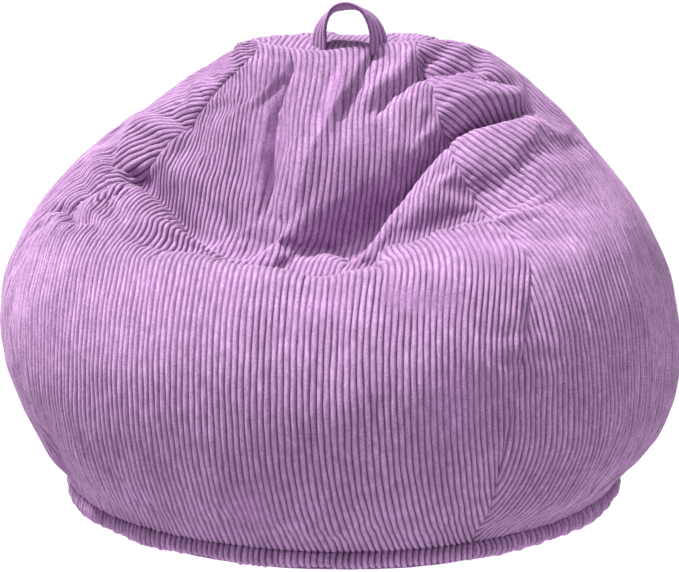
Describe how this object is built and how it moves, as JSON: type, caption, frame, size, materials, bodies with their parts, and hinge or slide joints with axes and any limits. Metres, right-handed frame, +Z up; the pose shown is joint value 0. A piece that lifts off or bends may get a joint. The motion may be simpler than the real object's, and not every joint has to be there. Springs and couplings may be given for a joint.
{
  "type": "bean bag chair",
  "caption": "Soft corduroy bean bag chair: sewn gores with a dented seat, turned-out hem, top carry handle, back zip, inner liner and bead filling.",
  "frame": {"origin": "centre of the round base panel's underside, on the floor", "axes": "+Z up, -Y the way the seat faces, +X along the top seam to the sitter's left as they sit"},
  "size_m": [0.8047, 0.8059, 0.5865],
  "materials": {
    "cover_corduroy": "wide-wale corduroy pile",
    "base_cloth": "woven base cloth",
    "handle_corduroy": "wide-wale corduroy pile",
    "zip_tape": "woven tape",
    "zip_coil": "moulded nylon coil",
    "zip_metal": "nickel plated",
    "liner_cloth": "smooth lining cloth",
    "bead_filling": "expanded polystyrene beads in bulk"
  },
  "bodies": {
    "cover": {"front_panel": "cover_corduroy", "left_side_panel": "cover_corduroy", "right_side_panel": "cover_corduroy", "back_panel_left": "cover_corduroy", "back_panel_right": "cover_corduroy", "base_panel": "base_cloth", "zip_tape_left": "zip_tape", "zip_tape_right": "zip_tape", "zip_coil_left": "zip_coil", "zip_coil_right": "zip_coil", "zip_top_stop": "zip_metal", "zip_bottom_stop": "zip_metal", "liner_front": "liner_cloth", "liner_back": "liner_cloth", "liner_base": "liner_cloth", "bead_filling": "bead_filling"},
    "handle": {"carry_handle": "handle_corduroy"},
    "slider": {"zip_slider": "zip_metal"},
    "pull_tab": {"zip_pull_tab": "zip_metal"}
  },
  "joints": [
    {"name": "handle_flop", "type": "hinge", "parent": "cover", "child": "handle", "pos_m": [0, 0, 0.5388], "axis": [1, 0, 0], "range_deg": [-55, 75], "stiffness_Nm_per_rad": 0.02},
    {"name": "zip_travel", "type": "hinge", "parent": "cover", "child": "slider", "pos_m": [0, 0.17, 0.2], "axis": [-1, 0, 0], "range_deg": [0, 60]},
    {"name": "pull_swing", "type": "hinge", "parent": "slider", "child": "pull_tab", "pos_m": [0, 0.36876, 0.31849], "axis": [1, 0, 0], "range_deg": [0, 140]}
  ]
}
